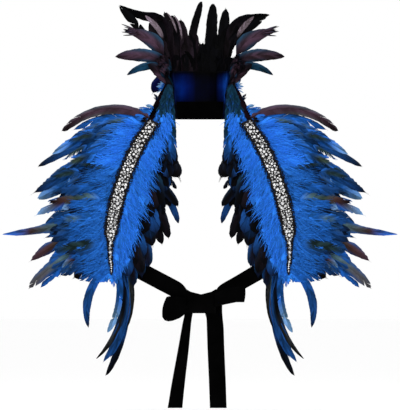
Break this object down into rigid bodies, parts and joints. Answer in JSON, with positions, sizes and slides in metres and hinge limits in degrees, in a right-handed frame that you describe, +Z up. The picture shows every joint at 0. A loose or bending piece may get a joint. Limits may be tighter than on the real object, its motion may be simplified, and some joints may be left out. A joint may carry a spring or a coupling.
{
  "type": "feather cape",
  "caption": "Feathered shoulder cape with a standing collar open at the front, a fanned wing over each shoulder, rhinestone seams and ribbons tied in a bow.",
  "frame": {"origin": "middle of the collar band's lower edge, where the cape sits on the neck", "axes": "+Z up along the neck, +Y towards the wearer's back, so the wearer faces -Y; left and right are as seen from the front"},
  "size_m": [0.75, 0.2422, 0.771],
  "materials": {
    "satin": "navy satin",
    "velvet": "black velvet",
    "blue_feather": "dyed royal blue cock feather",
    "teal_feather": "dark teal and brown cock feather",
    "plum_feather": "black and plum cock feather",
    "rhinestone": "foil-backed cut glass"
  },
  "bodies": {
    "root": {"collar_band": "satin", "neck_ribbon": "velvet", "collar_back_feathers": "plum_feather", "collar_cover_feathers": "blue_feather", "left_collar_feathers": "teal_feather", "right_collar_feathers": "teal_feather", "left_wing_base": "velvet", "right_wing_base": "velvet", "left_outer_feathers": "blue_feather", "right_outer_feathers": "blue_feather", "left_inner_feathers": "blue_feather", "right_inner_feathers": "blue_feather", "left_outer_cover": "blue_feather", "right_outer_cover": "blue_feather", "left_inner_cover": "blue_feather", "right_inner_cover": "blue_feather", "left_under_feathers": "plum_feather", "right_under_feathers": "plum_feather", "left_tail_feathers": "teal_feather", "right_tail_feathers": "teal_feather", "left_trim": "rhinestone", "right_trim": "rhinestone", "left_sash": "velvet", "right_sash": "velvet", "bow_knot": "velvet", "left_loop": "velvet", "right_loop": "velvet", "left_tie_end": "velvet", "right_tie_end": "velvet"}
  },
  "joints": []
}
